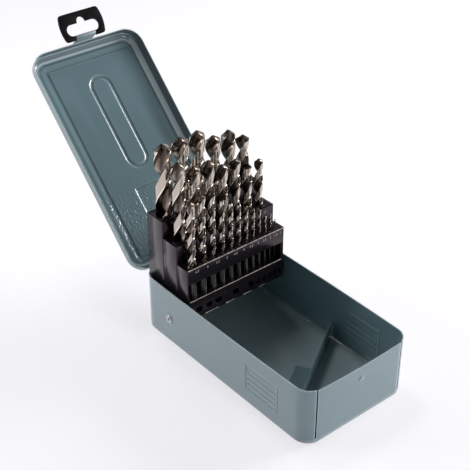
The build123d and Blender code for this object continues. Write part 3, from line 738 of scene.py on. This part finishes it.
def panel_height(x, y):
    """Height pressed out of the lid's panel by its beads and the field."""
    y -= pressing_y
    along = max(abs(x - badge_x) - (badge_half - badge_radius), 0.0)
    to_badge = badge_radius - badge_band / 2 - math.hypot(along, y)
    height = ridge(to_badge, badge_band, bead_rise, bead_slope)
    past_x = abs(x - bead_x) - (bead_half_x - bead_corner)
    past_y = abs(y) - (bead_half_y - bead_corner)
    inside = bead_corner - (math.hypot(past_x, past_y) if min(past_x, past_y) > 0
                            else max(past_x, past_y))
    height += ridge(inside - bead_band / 2, bead_band, bead_rise, bead_slope)
    to_field = min(field_half_x - abs(x - field_x), field_half_y - abs(y))
    return height + bead_rise * ramp(to_field, 0, bead_slope)


rim_steps = [(0.0, lid_rim + t * (lid_depth - lid_edge)) for t in (0, 0.12, 0.5, 1)]
edge_steps = 24
for step in range(1, edge_steps + 1):
    a = math.radians(90 * step / edge_steps)
    rim_steps.append((lid_edge * (1 - math.cos(a)), lid_top - lid_edge * (1 - math.sin(a))))
rim_steps.append((lid_edge + 0.6 * mm, lid_top))
arc = 8
lid_turns = [90 * step / arc for step in range(1, arc)]
cells_x, cells_y = 300, 150
even_x = [-1 + 2 * step / cells_x for step in range(cells_x + 1)]
even_y = [-1 + 2 * step / cells_y for step in range(cells_y + 1)]
lid_points = []
for inset, z in rim_steps:
    radius = max(lid_corner - inset, 3.0 * mm)
    for p in ring(lid_half - inset, lid_side - inset, radius, even_x, even_y, lid_turns):
        lid_points.append(Vector((lid_middle + p.x, p.y, z)))
loop = len(lid_points) // len(rim_steps)
lid_faces = []
for row in range(len(rim_steps) - 1):
    for index in range(loop):
        after = (index + 1) % loop
        a, b = row * loop + index, row * loop + after
        lid_faces.append([a, b, b + loop, a + loop])
across, deep = len(even_x) - 1 + arc, len(even_y) - 1 + arc
start = (len(rim_steps) - 1) * loop - arc // 2
first = (len(rim_steps) - 1) * loop


def border(step):
    """Index of the panel's border point that many steps round from its first corner."""
    return first + (step - arc // 2) % loop


grid = {}
for i in range(across + 1):
    grid[i, 0] = border(i)
    grid[i, deep] = border(2 * across + deep - i)
for j in range(deep + 1):
    grid[0, j] = border(-j)
    grid[across, j] = border(across + j)
for j in range(1, deep):
    v = j / deep
    for i in range(1, across):
        u = i / across
        low, high = lid_points[grid[i, 0]], lid_points[grid[i, deep]]
        left, right = lid_points[grid[0, j]], lid_points[grid[across, j]]
        c00, c10 = lid_points[grid[0, 0]], lid_points[grid[across, 0]]
        c01, c11 = lid_points[grid[0, deep]], lid_points[grid[across, deep]]
        p = (low * (1 - v) + high * v + left * (1 - u) + right * u
             - c00 * (1 - u) * (1 - v) - c10 * u * (1 - v) - c01 * (1 - u) * v - c11 * u * v)
        p.z += panel_height(p.x, p.y)
        grid[i, j] = len(lid_points)
        lid_points.append(p)
for i in range(across):
    for j in range(deep):
        lid_faces.append([grid[i, j], grid[i + 1, j], grid[i + 1, j + 1], grid[i, j + 1]])
swing = (Matrix.Translation(hinge_at) @ Matrix.Rotation(-opened, 4, "Y")
         @ Matrix.Translation(-hinge_at))
lid = new_piece("lid", [swing @ p for p in lid_points], lid_faces)
lid.data.materials.append(case_paint)
lid.data.materials.append(edge_highlight_enamel)
thicken(lid, lid_sheet, 0.1 * mm)
settle(lid)
mark_folds(lid)
# inside, painted highlight and painted shade lie in bands along the rim and over the drawn
# radius, for its reflections: depth in from the rim in millimetres, and how light (above nought)
# or dark it is painted there
end_reflection_bands = ((0.0, -0.7), (0.8, -0.7), (0.95, 0.7), (1.3, 0.7), (1.6, -0.6), (4.2, -0.6),
             (4.5, 1.0), (5.9, 1.0), (6.2, 0.0), (7.2, 0.0), (7.4, -0.8), (7.9, -0.8), (8.2, 0.0))
side_reflection_bands = ((0.0, -0.7), (0.5, -0.4), (0.7, -0.7), (2.0, -0.7), (2.3, 0.9), (6.6, 1.0),
              (7.0, -0.8), (7.5, -0.8), (8.2, 0.0))
bands_reach, near_share_lost = end_reflection_bands[-1][0], 0.45


def painted_reflection_tone(bands, inwards):
    """How light or dark the enamel is painted at a depth in from the rim, in millimetres, for its
    reflections and shade.
    """
    for (near_in, first_tone), (far_in, last_tone) in zip(bands, bands[1:]):
        if near_in <= inwards < far_in:
            return first_tone + (last_tone - first_tone) * (inwards - near_in) / (far_in - near_in)
    return 0.0


# the panel's inside is pebbled towards the hinge, where the enamel went on thick
most_pebbled = 0.9
pebbles = lid.data.attributes.new("orange_peel", "FLOAT", "POINT")
laid_down = swing.inverted()
lid_painted_light = lid.data.attributes["fold_light_shade"].data
for vertex in lid.data.vertices:
    laid = laid_down @ vertex.co
    facing = laid_down.to_3x3() @ vertex.normal
    pebbles.data[vertex.index].value = (
        most_pebbled * ramp(-laid.x, 5 * mm, 45 * mm) * ramp(-laid.y, -22 * mm, 6 * mm)
        if laid.z > lid_rim + lid_depth / 2 and facing.z < 0 else 0.0)
    past_x = abs(laid.x - lid_middle) - (lid_half - lid_corner)
    past_y = abs(laid.y) - (lid_side - lid_corner)
    inwards = (lid_corner - (math.hypot(past_x, past_y) if min(past_x, past_y) > 0
                             else max(past_x, past_y))) / mm
    turned_in = facing.z < -0.05 or facing.x * (lid_middle - laid.x) - facing.y * laid.y > 0
    # painted reflections and shade in bands round the inside of the rim
    if turned_in and inwards < bands_reach and laid.z > lid_rim + 0.4 * mm:
        far_share = ramp(past_y - past_x, -2 * mm, 2 * mm) if laid.y > 0 else 0.0
        tone_in = (painted_reflection_tone(end_reflection_bands, inwards) * (1 - far_share)
                   + painted_reflection_tone(side_reflection_bands, inwards) * far_share)
        near_share = ramp(past_y - past_x, -2 * mm, 2 * mm) if laid.y < 0 else 0.0
        lid_painted_light[vertex.index].value = tone_in * (1 - near_share_lost * near_share)
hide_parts("lid_pan")
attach(lid, "lid")

# ------------------------------------------------------------------ tongue and hang tab
# A spring tongue on the lid's front rim ends in a curl.  The hang tab is moulded in
# black polypropylene with a fine spark-eroded grain, and its stub pins sit in the curl.
# the tongue wears the lighter enamel, a painted highlight
dress("hanger_tongue", edge_highlight_enamel, 0.12 * mm)

tab_plastic, tab_tree, tab_shader = finish("tab_plastic")
tab_tree.links.new(mixed(tab_tree, "RGBA", noise(tab_tree, 700, 3), (0.007, 0.006, 0.0065, 1),
                         (0.012, 0.010, 0.011, 1)), tab_shader.inputs["Base Color"])
tab_tree.links.new(mixed(tab_tree, "FLOAT", noise(tab_tree, 200, 3), 0.42, 0.56),
                   tab_shader.inputs["Roughness"])
tab_shader.inputs["Specular IOR Level"].default_value = 0.06
roughened(tab_tree, noise(tab_tree, 2600, 2), 0.25, 0.08 * mm)
dress("hanger", tab_plastic, 0.45 * mm, 3)

# ------------------------------------------------------------------ studio
# A white table under a dim ceiling, with a pale surround that is dark on the camera's side.
# Five soft lamps: a large low one at the far side, a low one behind the near side, a high
# one behind the lid, and a small box and an upright strip in front.
table_size, table_drop = 40, 0.2 * mm
table_glow_share = 0.44
bpy.ops.mesh.primitive_plane_add(size=table_size, location=(0, 0, -table_drop))
floor = bpy.context.object
floor.name = "floor"
table, table_tree, table_shader = finish("white_table")
table_shader.inputs["Base Color"].default_value = (0.90, 0.89, 0.93, 1)
table_shader.inputs["Roughness"].default_value = 0.6
table_shader.inputs["Specular IOR Level"].default_value = 0.1
glow = table_tree.nodes.new("ShaderNodeEmission")
glow.inputs["Color"].default_value = (1.42, 1.40, 1.45, 1)
seen = table_tree.nodes.new("ShaderNodeLightPath")
direct = table_tree.nodes.new("ShaderNodeMath")
direct.operation = "MAXIMUM"
through = table_tree.nodes.new("ShaderNodeMath")
through.operation = "MAXIMUM"
table_tree.links.new(seen.outputs["Is Camera Ray"], direct.inputs[0])
table_tree.links.new(seen.outputs["Is Glossy Ray"], direct.inputs[1])
table_tree.links.new(direct.outputs[0], through.inputs[0])
table_tree.links.new(seen.outputs["Is Transmission Ray"], through.inputs[1])
share = table_tree.nodes.new("ShaderNodeMath")
share.operation = "MULTIPLY"
share.inputs[1].default_value = table_glow_share
table_tree.links.new(through.outputs[0], share.inputs[0])
table_mix = table_tree.nodes.new("ShaderNodeMixShader")
table_tree.links.new(share.outputs[0], table_mix.inputs[0])
table_tree.links.new(table_shader.outputs[0], table_mix.inputs[1])
table_tree.links.new(glow.outputs[0], table_mix.inputs[2])
table_tree.links.new(table_mix.outputs[0], table_tree.nodes["Material Output"].inputs["Surface"])
floor.data.materials.append(table)

world = bpy.data.worlds.new("surround")
bpy.context.scene.world = world
world.use_nodes = True
sky = world.node_tree
backdrop = sky.nodes["Background"]
direction = sky.nodes.new("ShaderNodeTexCoord")
parts = sky.nodes.new("ShaderNodeSeparateXYZ")
height = sky.nodes.new("ShaderNodeValToRGB")
height.color_ramp.elements[0].position = 0.05
height.color_ramp.elements[0].color = (0.95, 0.95, 1.0, 1)
height.color_ramp.elements[1].position = 0.7
height.color_ramp.elements[1].color = (0.07, 0.07, 0.075, 1)
sky.links.new(direction.outputs["Generated"], parts.inputs[0])
sky.links.new(parts.outputs["Z"], height.inputs["Fac"])
towards = sky.nodes.new("ShaderNodeVectorMath")
towards.operation = "DOT_PRODUCT"
towards.inputs[1].default_value = (0.77, -0.64, 0.0)
sky.links.new(direction.outputs["Generated"], towards.inputs[0])
side_light = sky.nodes.new("ShaderNodeValToRGB")
side_light.color_ramp.elements[0].position = 0.4
side_light.color_ramp.elements[0].color = (1, 1, 1, 1)
side_light.color_ramp.elements[1].position = 0.8
side_light.color_ramp.elements[1].color = (0.12, 0.12, 0.12, 1)
sky.links.new(towards.outputs["Value"], side_light.inputs["Fac"])
both = sky.nodes.new("ShaderNodeMix")
both.data_type = "RGBA"
both.blend_type = "MULTIPLY"
both.inputs[0].default_value = 1.0
sky.links.new(height.outputs["Color"], both.inputs[6])
sky.links.new(side_light.outputs["Color"], both.inputs[7])
sky.links.new(both.outputs[2], backdrop.inputs["Color"])
backdrop.inputs["Strength"].default_value = 0.8


case_middle = 60 * mm


def soft_box(name, azimuth, elevation, distance, width, height_up, power):
    """A soft lamp in a direction from the case, turned to it."""
    light = bpy.data.lights.new(name, "AREA")
    light.shape = "RECTANGLE"
    light.size, light.size_y = width, height_up
    light.energy = power
    holder = bpy.data.objects.new(name, light)
    a, e = math.radians(azimuth), math.radians(elevation)
    away = Vector((math.cos(a) * math.cos(e), math.sin(a) * math.cos(e), math.sin(e)))
    holder.location = away * distance + Vector((0, 0, case_middle))
    holder.rotation_euler = away.to_track_quat("Z", "Y").to_euler()
    bpy.context.scene.collection.objects.link(holder)


soft_box("right_box", 80, 20, 1.3, 0.7, 0.5, 14)
soft_box("left_box", -140, 18, 1.2, 0.6, 0.5, 5.4)
soft_box("front_box", 30, 36, 1.2, 0.42, 0.20, 0.35)
soft_box("back_box", 172, 60, 1.2, 0.30, 0.30, 2.6)
soft_box("front_strip", 4, 12, 1.2, 0.06, 0.34, 2.7)

# ------------------------------------------------------------------ camera
# A long lens that looks down on the open case from beyond its near front corner, so that
# the lid's inside, the drills and the tray's floor are all in sight.
camera = bpy.data.objects.new("camera", bpy.data.cameras.new("camera"))
camera.location = (0.4854, -0.4383, 0.5357)
camera.rotation_euler = Vector((-0.6422, 0.5345, -0.5495)).to_track_quat("-Z", "Y").to_euler()
camera.data.sensor_width = 36
camera.data.lens = 85.6
bpy.context.scene.collection.objects.link(camera)
bpy.context.scene.camera = camera
bpy.context.scene.view_settings.view_transform = "Standard"
